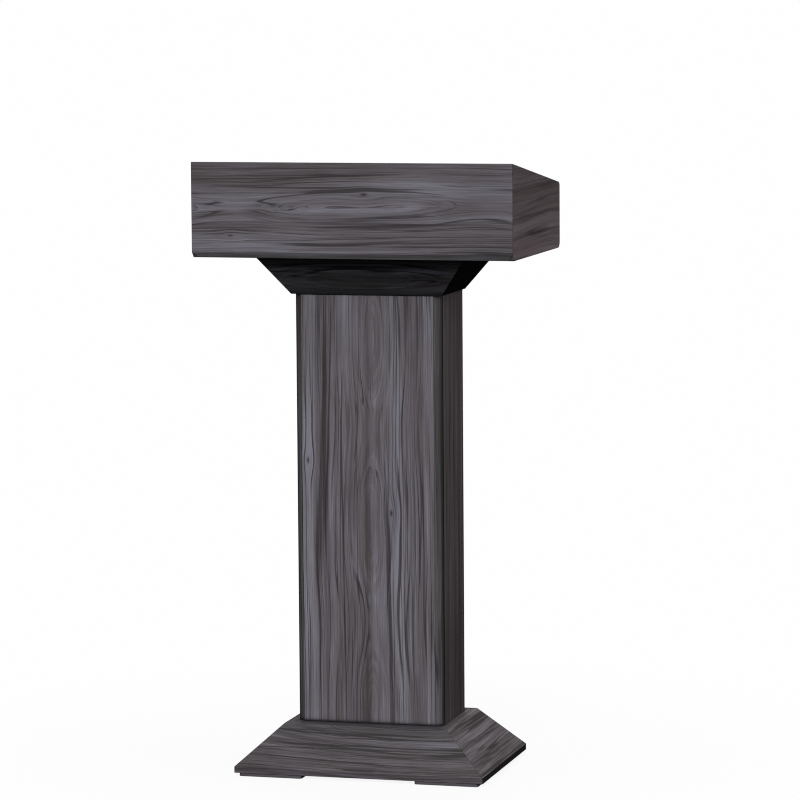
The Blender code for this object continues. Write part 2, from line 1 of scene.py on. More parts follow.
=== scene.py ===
# Presentation lectern in grey walnut laminate: finished pieces, materials and a white studio.
# Metres, +Z up, upright around the Z axis above the floor at z = 0. The front faces -Y and
# left is -X; the drawer and the column door face +Y.
import json
import math

import bmesh
import bpy
import numpy as np
from mathutils import Matrix, Vector


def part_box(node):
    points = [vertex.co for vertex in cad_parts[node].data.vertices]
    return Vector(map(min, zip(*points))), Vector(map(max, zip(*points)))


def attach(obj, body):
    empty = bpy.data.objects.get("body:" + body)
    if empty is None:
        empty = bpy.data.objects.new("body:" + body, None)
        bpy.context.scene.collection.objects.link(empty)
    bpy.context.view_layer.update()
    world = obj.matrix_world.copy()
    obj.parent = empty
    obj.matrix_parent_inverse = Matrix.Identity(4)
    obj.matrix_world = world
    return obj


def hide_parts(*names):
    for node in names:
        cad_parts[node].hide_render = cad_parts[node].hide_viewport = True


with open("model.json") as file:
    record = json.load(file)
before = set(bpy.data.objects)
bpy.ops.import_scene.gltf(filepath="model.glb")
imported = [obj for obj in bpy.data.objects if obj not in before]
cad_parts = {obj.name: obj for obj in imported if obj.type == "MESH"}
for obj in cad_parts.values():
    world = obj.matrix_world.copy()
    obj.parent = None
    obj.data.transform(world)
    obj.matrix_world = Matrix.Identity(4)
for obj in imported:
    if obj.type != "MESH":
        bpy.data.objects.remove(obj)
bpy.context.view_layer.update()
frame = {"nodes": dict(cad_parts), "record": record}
NODES = frame["nodes"]
BODY_OF = {
    member: body
    for body, members in frame["record"]["behaviour"]["bodies"].items()
    for member in members
}

scene = bpy.context.scene
scene.view_settings.view_transform = "Standard"
scene.cycles.filter_width = 1.1

MM = 0.001
X, Y, Z = (1, 0, 0), (0, 1, 0), (0, 0, 1)
FRONT, LEFT, DOWN = (0, -1, 0), (-1, 0, 0), (0, 0, -1)

# The desktop falls from its front edge to its back edge
DESK_HIGH_Z, DESK_LOW_Z, DESK_RUN = 1.130, 1.078, 0.370
DESK_SLOPE = math.atan2(DESK_HIGH_Z - DESK_LOW_Z, DESK_RUN)
DESK_NORMAL = (0, math.sin(DESK_SLOPE), math.cos(DESK_SLOPE))


# ------------------------------------------------------------------ node graphs
class Graph:
    """Builds the node tree of a material or world from plain expressions."""

    def __init__(self, owner, output_kind):
        owner.use_nodes = True
        self.tree = owner.node_tree
        self.tree.nodes.clear()
        self.end = self.tree.nodes.new(output_kind)

    def put(self, socket, value):
        """Link a Value, or set a number or an (r, g, b) colour."""
        if isinstance(value, Value):
            self.tree.links.new(value.socket, socket)
        else:
            socket.default_value = (*value, 1.0) if isinstance(value, tuple) else value

    def node(self, kind, inputs=None, output=0, **settings):
        node = self.tree.nodes.new(kind)
        for key, setting in settings.items():
            setattr(node, key, setting)
        for key, value in (inputs or {}).items():
            self.put(node.inputs[key], value)
        return Value(self, node.outputs[output])

    def surface(self, shader):
        self.put(self.end.inputs["Surface"], shader)

    def math(self, operation, a, b=None):
        inputs = {0: a} if b is None else {0: a, 1: b}
        return self.node("ShaderNodeMath", inputs, operation=operation)

    def noise(self, x, y, z, detail=2.0, rough=0.5):
        place = self.node("ShaderNodeCombineXYZ", {0: x, 1: y, 2: z})
        inputs = {"Vector": place, "Scale": 1.0, "Detail": detail, "Roughness": rough}
        return self.node("ShaderNodeTexNoise", inputs, "Fac", noise_dimensions="3D")

    def remap(self, value, low, high, to_low=0.0, to_high=1.0, kind="LINEAR"):
        inputs = {"Value": value, "From Min": low, "From Max": high,
                  "To Min": to_low, "To Max": to_high}
        return self.node("ShaderNodeMapRange", inputs, "Result", interpolation_type=kind)

    def smooth(self, value, low, high, to_low=0.0, to_high=1.0):
        return self.remap(value, low, high, to_low, to_high, "SMOOTHSTEP")

    def ramp(self, value, stops):
        """Colour ramp from (position, colour) stops."""
        result = self.node("ShaderNodeValToRGB", {0: value})
        elements = result.socket.node.color_ramp.elements
        while len(elements) < len(stops):
            elements.new(0.5)
        for element, (position, colour) in zip(elements, stops):
            element.position = position
            element.color = (*colour, 1.0)
        return result

    def mix(self, amount, a, b, mode="MIX"):
        return self.node("ShaderNodeMix", {0: amount, 6: a, 7: b}, 2,
                         data_type="RGBA", blend_type=mode, clamp_factor=True)

    def times(self, colour, factor):
        return self.mix(1.0, colour, factor, "MULTIPLY")

    def wash(self, amount, colour, factor):
        """Multiply the colour by factor where amount is high."""
        return self.mix(amount, colour, self.times(colour, factor))

    def mix_shaders(self, amount, a, b):
        return self.node("ShaderNodeMixShader", {0: amount, 1: a, 2: b})


class Value:
    """A node output that can be added, multiplied and so on."""

    def __init__(self, graph, socket):
        self.graph, self.socket = graph, socket

    def __add__(self, other):
        return self.graph.math("ADD", self, other)

    __radd__ = __add__

    def __sub__(self, other):
        return self.graph.math("SUBTRACT", self, other)

    def __rsub__(self, other):
        return self.graph.math("SUBTRACT", other, self)

    def __mul__(self, other):
        return self.graph.math("MULTIPLY", self, other)

    __rmul__ = __mul__

    def __truediv__(self, other):
        return self.graph.math("DIVIDE", self, other)

    def __pow__(self, other):
        return self.graph.math("POWER", self, other)

    def abs(self):
        return self.graph.math("ABSOLUTE", self)


class Finish(Graph):
    """A piece's material. The mesh attribute grain holds metres along the grain, across it
    and through the board; edge marks arrises, which walnut darkens with painted shade, and strip
    marks chamfers, grooves and foot bands, which get painted light and shade."""

    def __init__(self, name):
        self.material = bpy.data.materials.new(name)
        super().__init__(self.material, "ShaderNodeOutputMaterial")
        split = self.node("ShaderNodeSeparateXYZ", {0: self.attribute("grain", "Vector")})
        self.along, self.across, self.through = [
            Value(self, socket) for socket in split.socket.node.outputs]

    def attribute(self, name, output="Fac"):
        return self.node("ShaderNodeAttribute", output=output, attribute_name=name)

    def streaks(self, along, across, seed, detail=2.0, rough=0.5):
        """Noise with these frequencies per metre; equal ones give specks."""
        return self.noise(self.along * along, self.across * across,
                          self.through * across + seed, detail, rough)

    def bump(self, height, strength, distance):
        inputs = {"Strength": strength, "Distance": distance, "Height": height}
        return self.node("ShaderNodeBump", inputs)

    def finish(self, colour, rough, normal, metallic=0.0, specular=0.5):
        self.surface(self.node("ShaderNodeBsdfPrincipled", {
            "Base Color": colour, "Roughness": rough, "Metallic": metallic,
            "Specular IOR Level": specular, "Normal": normal}))
        return self.material


def srgb(*channels):
    """Linear colour from 0-255 sRGB channels."""
    def linear(c):
        c /= 255.0
        return c / 12.92 if c <= 0.04045 else ((c + 0.055) / 1.055) ** 2.4
    return tuple(linear(c) for c in channels)


def scaled(colour, factor):
    return tuple(c * factor for c in colour)


# ------------------------------------------------------------------ grey walnut laminate
WOOD_TONES = [(0.0, srgb(66, 59, 61)), (0.28, srgb(84, 77, 81)), (0.52, srgb(99, 93, 100)),
              (0.76, srgb(113, 109, 118)), (1.0, srgb(128, 127, 139))]
GROWTH_LINE = srgb(34, 27, 30)
RIM_SHADE = srgb(8, 7, 8)
ARRIS_SHADE = srgb(26, 23, 25)
# colour of the painted shade in joints and creases
PAINTED_JOINT_SHADE = srgb(22, 18, 18)
GREENISH = (0.985, 0.995, 0.935)
WARM = (1.10, 0.97, 0.89)
RING_POWER = 1.8  # 2 would make the rings round


class Walnut(Finish):
    """Printed walnut grain. Rings around a pith line that nears and leaves the face give the
    figure; away from the pith the lines run almost straight."""

    def __init__(self, name, seed):
        super().__init__(name)
        self.seed = seed

    def bend_round_knots(self, knots):
        """Pull the grain aside at each knot and return the dark spots, or None."""
        spots = None
        for knot_along, knot_across, size in knots:
            da, dc = (self.along - knot_along) * 0.42, self.offset - knot_across
            distance2 = da * da + dc * dc
            near = self.math("EXPONENT", distance2 * (-1.0 / (3.2 * size) ** 2))
            self.offset = self.offset - dc * near * 0.72 + near * (0.35 * size)
            spot = self.math("EXPONENT", distance2 * (-1.0 / (0.62 * size) ** 2))
            spots = spot if spots is None else spots + spot
        return spots

    def wander(self, wave):
        """Slow, middling and quick drift of the grain lines; the last factor is metres."""
        along, across, seed = self.along, self.across, self.seed
        slow = self.noise(along * 1.3, across * 3.0, self.through * 6.0 + seed * 7.31, detail=1.0)
        self.offset = self.offset + (slow - 0.5) * (0.030 * wave)
        middling = self.noise(along * 3.6, across * 20.0, seed * 3.17 + 11.0, detail=1.5)
        self.offset = self.offset + (middling - 0.5) * (0.0056 * wave)
        quick = self.noise(along * 17.0, across * 75.0, seed * 5.77 + 3.0, detail=2.0)
        self.offset = self.offset + (quick - 0.5) * (0.0013 * wave)

    def grow_rings(self, eye, period, depth, swing, dense):
        def phase():
            return (self.along - eye) * (2 * math.pi / period)

        pith = depth + self.math("COSINE", phase()) * (-swing)
        unevenness = self.noise(self.along * 4.3, self.seed * 1.9, 4.0, detail=1.5) - 0.5
        pith = pith + unevenness * 0.009 + self.through
        radius = ((self.offset.abs() ** RING_POWER) + (pith.abs() ** RING_POWER)) \
            ** (1.0 / RING_POWER)
        self.side = self.offset / (radius + 0.022)
        # where the rings neither widen nor narrow a line would smear, so it fades out there
        turn = self.math("SINE", phase()).abs()
        self.sharp = self.smooth(self.offset.abs() / (radius + 0.0005) + turn * 0.30, 0.14, 0.50)
        self.radius = radius * dense

    def ring_noise(self, rings, swirl, drift, seed, shift=None, detail=1.0, rough=0.5):
        """Noise that follows the rings: frequency outward, round the pith and along."""
        radial, sideways = self.radius * rings, self.side * swirl + seed
        lengthwise = self.along * drift
        if shift is not None:
            lengthwise = lengthwise + shift
        return self.noise(radial, sideways, lengthwise, detail, rough)

    def crest(self, noise, core, rim):
        """A thin line where the noise crosses its middle value."""
        return 1.0 - self.smooth((noise - 0.5).abs(), core, rim)

    def fade(self, along, across, shift, low, high):
        """Where lines show: they come and go along the board."""
        patches = self.noise(self.along * along, across, self.seed + shift, detail=1.0)
        return self.smooth(patches, low, high)

    def wood_tone(self, ribbon, fine, contrast):
        """Tone between the growth lines, from broad ribbons to single fibres."""
        seed, sharp = self.seed, self.sharp
        broad = self.ring_noise(44.0, 1.1, 0.6, seed)
        medium = self.ring_noise(140.0, 1.7, 1.3, seed * 2.0, detail=1.5)
        self.hair = self.ring_noise(430.0, 2.6, 4.0, seed * 3.0, detail=2.0, rough=0.65)
        self.fibre = self.streaks(along=13.0, across=460.0, seed=seed, detail=3.0, rough=0.65)
        cloud = self.noise(self.along * 3.6, self.across * 16.0, seed * 6.1 + 1.0,
                           detail=3.0, rough=0.6)
        belt = self.noise(self.offset * 31.0, self.along * 0.5, seed * 4.9 + 15.0, detail=1.0)
        return ((broad - 0.5) * 1.15 + (belt - 0.5) * (1.5 * ribbon)
                + (medium - 0.5) * (sharp * 0.88) + (self.hair - 0.5) * (sharp * (0.80 * fine))
                + (self.fibre - 0.5) * (1.05 * fine) + (cloud - 0.5) * 0.8) * contrast + 0.57

    def growth_lines(self, wide, dense, bundles, strength):
        """Dark lines in three widths gathered in bundles, short strokes, straight lines well
        away from the pith, and pores."""
        seed, side, radius, offset = self.seed, self.side, self.radius, self.offset
        bundle = self.smooth(
            self.noise(radius * 38.0, side + seed + 5.0, self.along * 0.9 + 9.0, detail=1.0),
            0.36, 0.62)
        bold = self.crest(self.ring_noise(62.0, 1.2, 0.8, seed, shift=20.0),
                          core=0.008 * wide, rim=0.036 * wide)
        bold = bold * self.fade(3.2, radius * 60.0, 31.0, 0.44, 0.60)
        medium = self.crest(self.ring_noise(175.0, 2.0, 1.1, seed, shift=40.0, detail=0.5),
                            core=0.0, rim=0.056 * wide)
        medium = medium * self.fade(4.0, radius * 90.0, 51.0, 0.40, 0.58)
        thin = self.crest(self.ring_noise(330.0, 3.0, 1.8, seed, shift=60.0, detail=0.5),
                          core=0.0, rim=0.120)
        thin = thin * self.fade(6.0, radius * 140.0, 81.0, 0.42, 0.62)
        stroke = self.smooth(
            self.noise(self.along * 6.5, radius * 230.0, side + seed + 71.0, detail=1.0),
            0.68, 0.80)
        straight = self.crest(
            self.noise(offset * (74.0 * dense), self.along * 0.45, seed + 90.0, detail=0.5),
            core=0.008 * wide, rim=0.036 * wide)
        straight = straight * self.smooth(offset.abs(), 0.014, 0.034)
        straight = straight * self.fade(2.4, offset * 60.0, 97.0, 0.38, 0.56)
        pores = self.smooth(
            self.streaks(along=42.0, across=950.0, seed=seed * 0.7, detail=1.0), 0.64, 0.80)
        return ((bold * 0.86 + medium * (bundle * (0.74 * bundles) + 0.16)
                 + thin * (bundle * (0.26 * bundles) + 0.04) + stroke * 0.40) * self.sharp
                + straight * 0.84) * strength + pores * 0.24

    def fall(self, axis, start, stop):
        """Rises from 0 at start to 1 at stop, in either direction."""
        place = getattr(self, axis)
        if stop > start:
            return self.smooth(place, start, stop)
        return 1.0 - self.smooth(place, stop, start)


def walnut(name, seed, centre=0.0, eye=0.0, period=0.36, depth=0.011, swing=0.011, dense=1.0,
           wave=1.0, knots=(), contrast=1.0, ribbon=1.0, fine=1.0, lines=1.0, wide=0.85,
           bundles=1.0, plain=0.0, gain=1.0, tint=(1.0, 1.0, 1.0), warmth=0.0, shade=(),
           rim=None, strip=(0.60, 0.63, 0.57), arris=0.60, crease=0.72, gloss=0.40):
    """One walnut board.
    centre, eye: where the pith runs across, and comes nearest along; period, depth, swing: its
    wave; dense: ring frequency; wave: wander; knots: (along, across, size).
    contrast, ribbon, fine: tone; lines, wide, bundles: growth line strength, width, bunching;
    plain: how far strips lose their lines.
    gain, tint, warmth: overall colour, gain also painted shade on some boards; shade: painted
    light and shade, (axis, start, stop, factor at stop);
    rim: (start, stop, amount) of painted shade toward both long edges; strip: strip colour
    factor, painted light and shade, by default painted shade;
    arris, crease: painted shade on edges and in joints; gloss: specular level."""
    t = Walnut(name, seed)
    t.offset = t.across - centre
    spots = t.bend_round_knots(knots)
    t.wander(wave)
    t.grow_rings(eye, period, depth, swing, dense)
    tone = t.wood_tone(ribbon, fine, contrast)
    dark = t.growth_lines(wide, dense, bundles, strength=contrast * lines)
    band = t.attribute("strip")
    if plain:
        dark = dark * (1.0 - band * plain)
    if spots is not None:
        dark = dark + spots * 0.9
    dark = t.math("MINIMUM", dark, 0.86)
    tone = t.math("MAXIMUM", t.math("MINIMUM", tone, 1.0), 0.0)
    colour = t.mix(dark, t.ramp(tone, WOOD_TONES), GROWTH_LINE)
    # mauve, neutral and faintly green patches
    patches = t.noise(t.along * 1.9, t.radius * 34.0, seed * 1.3 + 60.0, detail=2.0)
    colour = t.wash(t.smooth(patches, 0.40, 0.64) * 0.60, colour, GREENISH)
    if warmth:
        colour = t.wash(warmth, colour, WARM)
    colour = t.times(colour, scaled(tint, gain))
    # painted light and shade ramps
    for axis, start, stop, factor in shade:
        colour = t.wash(t.fall(axis, start, stop), colour, (factor, factor, factor))
    # painted shade toward both long edges
    if rim:
        start, stop, amount = rim
        colour = t.mix(t.smooth(t.across.abs(), start, stop) * amount, colour, RIM_SHADE)
    # painted light and shade on the strip faces
    colour = t.wash(band, colour, strip)
    colour = t.mix(t.attribute("edge") * arris, colour, ARRIS_SHADE)
    # painted shade gathered in the joints, from ambient occlusion
    openness = t.node("ShaderNodeAmbientOcclusion", {"Distance": 0.016}, "AO", samples=6)
    closed = 1.0 - t.smooth(openness, 0.25, 0.95)
    colour = t.mix(closed * crease, colour, PAINTED_JOINT_SHADE)
    relief = t.fibre * 0.5 + dark * (-1.0) + t.hair * 0.35
    rough = t.remap(tone - dark * 0.3, 0.0, 1.0, to_low=0.58, to_high=0.45)
    normal = t.bump(relief, strength=0.22, distance=0.00025)
    return t.finish(colour, rough, normal, specular=gloss)


# ------------------------------------------------------------------ other materials
def melamine(name, base, seed):
    """Plain grey board facing: fine speckle and a faint emboss."""
    t = Finish(name)
    speck = t.streaks(along=700.0, across=700.0, seed=seed, rough=0.7)
    cloud = t.streaks(along=6.0, across=6.0, seed=seed, detail=3.0)
    tone = 0.5 + (speck - 0.5) * 0.5 + (cloud - 0.5) * 0.4
    colour = t.ramp(tone, [(0.15, scaled(base, 0.80)), (0.85, scaled(base, 1.18))])
    colour = t.mix(t.attribute("edge") * 0.3, colour, scaled(base, 0.5))
    rough = t.remap(cloud, 0.3, 0.7, to_low=0.50, to_high=0.60)
    return t.finish(colour, rough, t.bump(speck, strength=0.10, distance=0.0002), specular=0.4)


def softwood(name, seed, rings_per_metre=260.0, pith_depth=0.03):
    """Pale timber with darker late wood in each ring."""
    t = Finish(name)
    warp = (t.streaks(along=3.0, across=9.0, seed=seed) - 0.5) * 0.010
    radius = ((t.across + warp) ** 2.0 + (t.through + pith_depth) ** 2.0) ** 0.5
    ring = t.math("FRACT", radius * rings_per_metre)
    late = t.smooth(ring, 0.35, 0.95) * (1.0 - t.smooth(ring, 0.95, 1.0))
    fibre = t.streaks(along=12.0, across=600.0, seed=seed)
    colour = t.mix(late * 0.75, srgb(206, 176, 132), srgb(158, 112, 68))
    colour = t.mix((fibre - 0.35) * 0.6, colour, srgb(132, 96, 62))
    rough = t.remap(fibre, 0.3, 0.7, to_low=0.62, to_high=0.78)
    normal = t.bump(fibre + late * 0.5, strength=0.25, distance=0.0003)
    return t.finish(colour, rough, normal, specular=0.35)


def metal(name, base, rough, seed, metallic=1.0, stretch=1.0, spots=0.25):
    """Metal with a directional brush, scaled by stretch, and faint handling marks that vary
    the roughness by the share spots."""
    t = Finish(name)
    brush = t.noise(t.along * 90.0 * stretch, t.across * 2600.0 * stretch,
                    t.through * 2600.0 * stretch + seed, detail=3.0, rough=0.6)
    marks = t.streaks(along=60.0, across=60.0, seed=seed, detail=4.0, rough=0.6)
    colour = t.ramp(brush * 0.5 + marks * 0.5,
                    [(0.25, scaled(base, 0.78)), (0.75, scaled(base, 1.10))])
    colour = t.mix(t.attribute("edge") * 0.35, colour, scaled(base, 1.5))
    roughness = t.remap(marks, 0.3, 0.7,
                        to_low=rough * (1 - spots), to_high=rough * (1 + spots))
    normal = t.bump(brush, strength=0.08, distance=0.00008)
    return t.finish(colour, roughness, normal, metallic=metallic)


def moulded(name, base, rough, pits_per_metre=900.0, seed=0.0):
    """Moulded plastic with a finely pitted skin."""
    t = Finish(name)
    pit = t.streaks(along=pits_per_metre, across=pits_per_metre, seed=seed, rough=0.6)
    cloud = t.streaks(along=30.0, across=30.0, seed=seed, detail=3.0)
    colour = t.ramp(cloud * 0.7 + pit * 0.3,
                    [(0.25, scaled(base, 0.7)), (0.75, scaled(base, 1.35))])
    colour = t.mix(t.attribute("edge") * 0.4, colour, scaled(base, 2.6))
    roughness = t.remap(cloud, 0.3, 0.7, to_low=rough * 0.85, to_high=rough * 1.12)
    normal = t.bump(pit, strength=0.30, distance=0.00015)
    return t.finish(colour, roughness, normal, specular=0.4)


# Strip colour factors: painted light and shade on chamfers, grooves and foot bands
# painted light on the head's downward chamfers
PAINTED_CHAMFER_LIGHT = (1.50, 1.56, 1.46)
# painted shadow in the grooves beside the column front
PAINTED_GROOVE_SHADOW = (0.06, 0.06, 0.06)
# painted shade on the side skirts' foot bands
PAINTED_BAND_SHADE = (0.10, 0.09, 0.11)

# Walnut looks, one per board; see walnut() for the settings
WALNUT_LOOKS = {
    "head_front": dict(
        seed=3, centre=0.006, eye=0.021, period=0.47, depth=0.0092, swing=0.0105, gain=0.88,
        # strip: painted light on the low chamfer; shade: painted shade toward the right end
        strip=PAINTED_CHAMFER_LIGHT, contrast=0.90, plain=0.8, arris=0.30,
        shade=[("along", 0.12, 0.24, 0.85)],
        knots=[(0.025, 0.024, 0.004), (-0.226, -0.052, 0.003)]),
    "head_left": dict(
        seed=17, centre=0.02, eye=0.05, period=0.6, warmth=0.6, contrast=0.8,
        # strip: painted light on the low chamfer
        strip=PAINTED_CHAMFER_LIGHT),
    "head_right": dict(
        seed=21, centre=0.135, eye=0.02, period=0.7, warmth=1.0, contrast=0.50, fine=0.7,
        # gain: painted shade on the side; strip: painted light on the low chamfer; shade: painted
        # light toward the bottom
        gain=0.88, wave=2.2, strip=PAINTED_CHAMFER_LIGHT, arris=0.45,
        shade=[("across", 0.02, -0.05, 1.38)]),
    "desktop": dict(seed=7, centre=0.03, eye=-0.08, period=0.44),
    "stop": dict(seed=9, centre=0.05, gloss=0.12),
    "head_bottom": dict(seed=29, centre=-0.04, eye=0.1, period=0.5, gain=0.95),
    "drawer_front": dict(seed=33, centre=0.012, eye=-0.12, period=0.5),
    "neck_front": dict(
        # gain: a darker laminate together with painted shade; shade: painted light at the top,
        # under the head's shadow, and painted shade at the bottom
        seed=41, centre=-0.004, eye=-0.01, period=0.42, gain=0.36, tint=(0.94, 1.0, 0.97),
        contrast=1.2, crease=0.35, gloss=0.22,
        shade=[("across", -0.002, 0.030, 2.6), ("across", -0.022, -0.036, 0.45)]),
    # gain near zero: painted shade, the neck's sides all but black
    "neck_side": dict(seed=43, centre=0.01, period=0.5, gain=0.025, arris=0.1, gloss=0.02),
    "column_front": dict(
        seed=51, centre=-0.005, eye=0.321, period=0.350, depth=0.0085, swing=0.0098,
        # rim: painted shade along the seams at both long edges; the default strip: painted shade
        # on the corner chamfers
        knots=[(0.090, 0.119, 0.004), (-0.004, -0.039, 0.004)], rim=(0.1325, 0.1386, 0.95),
        gain=1.07, wave=0.8, contrast=0.88,
        # shade: painted contact shadow at the foot, painted shade toward the top, painted light
        # lower down
        shade=[("along", -0.3900, -0.3950, 0.22), ("along", 0.20, 0.34, 0.86),
               ("along", 0.10, -0.10, 1.08)]),
    "column_left": dict(
        # strip: painted shadow in the front groove
        seed=57, centre=-0.02, eye=0.1, period=0.7, warmth=0.6, strip=PAINTED_GROOVE_SHADOW),
    "column_right": dict(
        seed=61, centre=0.08, eye=0.0, period=0.9, swing=0.004, warmth=1.0, contrast=0.95,
        # gain and shade: painted shade on the side, darker toward the bottom; strip: painted
        # shadow in the front groove
        wave=0.5, gain=0.66, strip=PAINTED_GROOVE_SHADOW, shade=[("along", -0.08, -0.28, 0.70)]),
    "column_door": dict(seed=67, centre=-0.01, eye=-0.1, period=0.38, gain=0.95),
    "base_front": dict(
        seed=74, tint=(1.02, 0.99, 0.99), centre=0.056, eye=0.061, period=0.60, depth=0.014,
        swing=0.014, gain=0.605, arris=0.10, contrast=1.05, ribbon=0.45, crease=0.15,
        dense=0.95, lines=2.8, wide=0.55, plain=0.85, bundles=0.4, fine=1.5,
        # strip: painted light on the foot band; shade: painted shade toward the top of the skirt
        strip=(1.34, 1.34, 1.36), shade=[("across", 0.014, 0.042, 0.63)]),
    "base_back": dict(
        # the default strip: painted shade on the foot band
        seed=75, centre=0.05, eye=-0.05, period=0.5, gain=0.66, arris=0.25, fine=1.4,
        dense=1.2, crease=0.15),
    "base_left": dict(
        # strip: painted shade on the foot band
        seed=77, centre=0.05, eye=0.05, period=0.5, gain=0.72, warmth=0.5, strip=PAINTED_BAND_SHADE,
        arris=0.25, fine=1.3, dense=1.2, crease=0.15),
    "base_right": dict(
        # strip: painted shade on the foot band
        seed=79, centre=0.07, eye=0.08, period=0.7, gain=0.74, warmth=0.6, strip=PAINTED_BAND_SHADE,
        arris=0.12, crease=0.15, lines=2.6, wide=0.55, ribbon=0.45, bundles=0.4, fine=1.5),
    # gain: painted shade on the ledge in front of the column
    "base_top": dict(seed=83, centre=0.1, period=0.6, gain=0.36),
    "foot": dict(seed=89, centre=0.1, gain=0.9, crease=0.15, arris=0.2),
}
WOOD = {key: walnut("walnut_" + key, **look) for key, look in WALNUT_LOOKS.items()}
INNER_BOARD = melamine("melamine_inside", base=(0.120, 0.112, 0.112), seed=1.0)
SOFTWOOD = softwood("softwood", seed=2.0)
STEEL = metal("zinc_steel", base=(0.56, 0.57, 0.58), rough=0.32, seed=3.0)
KNOB_STEEL = metal("knob_steel", base=(0.58, 0.58, 0.59), rough=0.24, seed=5.0)
SATIN_BLACK = metal("satin_black", base=(0.035, 0.035, 0.037), rough=0.42, seed=7.0,
                    metallic=0.6)
PLASTIC = moulded("black_plastic", base=(0.018, 0.018, 0.020), rough=0.50)


# ------------------------------------------------------------------ geometry helpers
# End grain: shift across and through (m), and the squeeze of its rings
END_SHIFT, END_DEPTH, END_SQUEEZE = 3.0, 0.09, 0.35


def link_mesh(name, bm):
    mesh = bpy.data.meshes.new(name)
    bm.to_mesh(mesh)
    bm.free()
    obj = bpy.data.objects.new(name, mesh)
    scene.collection.objects.link(obj)
    return obj


def smooth_faces(mesh, sharp_degrees):
    mesh.shade_smooth()
    mesh.set_sharp_from_angle(angle=math.radians(sharp_degrees))


def box_centre(node):
    low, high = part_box(node)
    return (low + high) / 2


def tag_grain(mesh, grain, face, origin, ends=True):
    """Store metres along the grain, across it and through the board for every face corner."""
    grain, face = Vector(grain).normalized(), Vector(face).normalized()
    side = face.cross(grain).normalized()
    face = grain.cross(side).normalized()
    points = np.empty(len(mesh.vertices) * 3)
    mesh.vertices.foreach_get("co", points)
    points = points.reshape(-1, 3) - np.array(Vector(origin))
    corners = np.empty(len(mesh.loops), np.int64)
    mesh.loops.foreach_get("vertex_index", corners)
    points = points[corners]
    along, across, through = [points @ np.array(axis) for axis in (grain, side, face)]
    values = np.stack([along, across, through], 1)
    if ends:
        for poly in mesh.polygons:
            if abs(poly.normal.dot(grain)) > 0.8:
                part = slice(poly.loop_start, poly.loop_start + poly.loop_total)
                values[part] = np.stack([across[part] + END_SHIFT,
                                         through[part] * END_SQUEEZE + END_DEPTH,
                                         along[part] * 0.0], 1)
    attribute = mesh.attributes.new("grain", "FLOAT_VECTOR", "CORNER")
    attribute.data.foreach_set("vector", values.astype(np.float32).ravel())


def tag_faces(mesh, name, value_of):
    attribute = mesh.attributes.new(name, "FLOAT", "FACE")
    values = np.array([value_of(poly) for poly in mesh.polygons], np.float32)
    attribute.data.foreach_set("value", values)


def refined(node, material, grain, face, bevel=0.0008, segments=2, origin=None, strip=None):
    """A finished piece with the node's exact shape: coplanar facets merged, arrises rounded.
    With no bevel the plain normals stay."""
    bm = bmesh.new()
    bm.from_mesh(NODES[node].data)
    bmesh.ops.remove_doubles(bm, verts=bm.verts[:], dist=2e-6)
    bmesh.ops.dissolve_limit(bm, angle_limit=math.radians(0.4), verts=bm.verts[:],
                             edges=bm.edges[:])
    bmesh.ops.recalc_face_normals(bm, faces=bm.faces[:])
    rounded = []
    if bevel:
        sharp = [e for e in bm.edges
                 if len(e.link_faces) == 2 and e.calc_face_angle(0) > math.radians(25)]
        rounded = bmesh.ops.bevel(bm, geom=sharp, offset=bevel, offset_type="OFFSET",
                                  segments=segments, profile=0.5, affect="EDGES",
                                  clamp_overlap=True)["faces"]
    bm.faces.index_update()
    arrises = {f.index for f in rounded}
    obj = link_mesh(node + "_finish", bm)
    mesh = obj.data
    smooth_faces(mesh, sharp_degrees=40)
    tag_grain(mesh, grain, face, box_centre(node) if origin is None else origin)

    def edge_value(poly):
        if poly.index not in arrises:
            return 0.0
        # up-facing arrises are marked less, so they take less of the painted arris shade
        return 0.15 if poly.normal.z > 0.3 else 1.0

    tag_faces(mesh, "edge", edge_value)
    if strip:
        tag_faces(mesh, "strip", lambda poly: 1.0 if strip(poly.normal, poly.center) else 0.0)
    mesh.materials.append(material)
    if bevel:
        modifier = obj.modifiers.new("face_normals", "WEIGHTED_NORMAL")
        modifier.keep_sharp = True
        modifier.weight = 100
    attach(obj, BODY_OF[node])
    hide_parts(node)


def ring(bm, centre, axis, radius, along, segments):
    """One circle of a turned piece, or a single point on the axis."""
    row = []
    for i in range(segments if radius else 1):
        angle = 2 * math.pi * i / segments
        offset = [radius * math.cos(angle), radius * math.sin(angle)]
        offset.insert("XYZ".index(axis), along)
        row.append(bm.verts.new([c + o for c, o in zip(centre, offset)]))
    return row


def turned(node, body, axis, outline, material, grain, face, centre, segments=72):
    """Solid of revolution from (radius, along) pairs in mm, closed on its axis at both ends."""
    bm = bmesh.new()
    rows = [ring(bm, centre, axis, r * MM, a * MM, segments) for r, a in outline]
    for row, following in zip(rows, rows[1:]):
        for i in range(segments):
            j = (i + 1) % segments
            start = row if len(row) == 1 else [row[i], row[j]]
            stop = following if len(following) == 1 else [following[j], following[i]]
            bm.faces.new(start + stop)
    bmesh.ops.recalc_face_normals(bm, faces=bm.faces[:])
    obj = link_mesh(node + "_finish", bm)
    smooth_faces(obj.data, sharp_degrees=38)
    tag_grain(obj.data, grain, face, centre, ends=False)
    obj.data.attributes.new("edge", "FLOAT", "FACE")
    obj.data.materials.append(material)
    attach(obj, body)
    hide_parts(node)


def mirrored(half):
    """Outline completed by its mirror image about along = 0."""
    return half + [(radius, -along) for radius, along in reversed(half)]


# ------------------------------------------------------------------ faces tagged as strips, for painted light and shade
def low_chamfer(normal, centre):
    return normal.z < -0.5 and normal.y < -0.5


def upright_chamfer(normal, centre):
    return normal.y < -0.5 and abs(normal.x) > 0.5


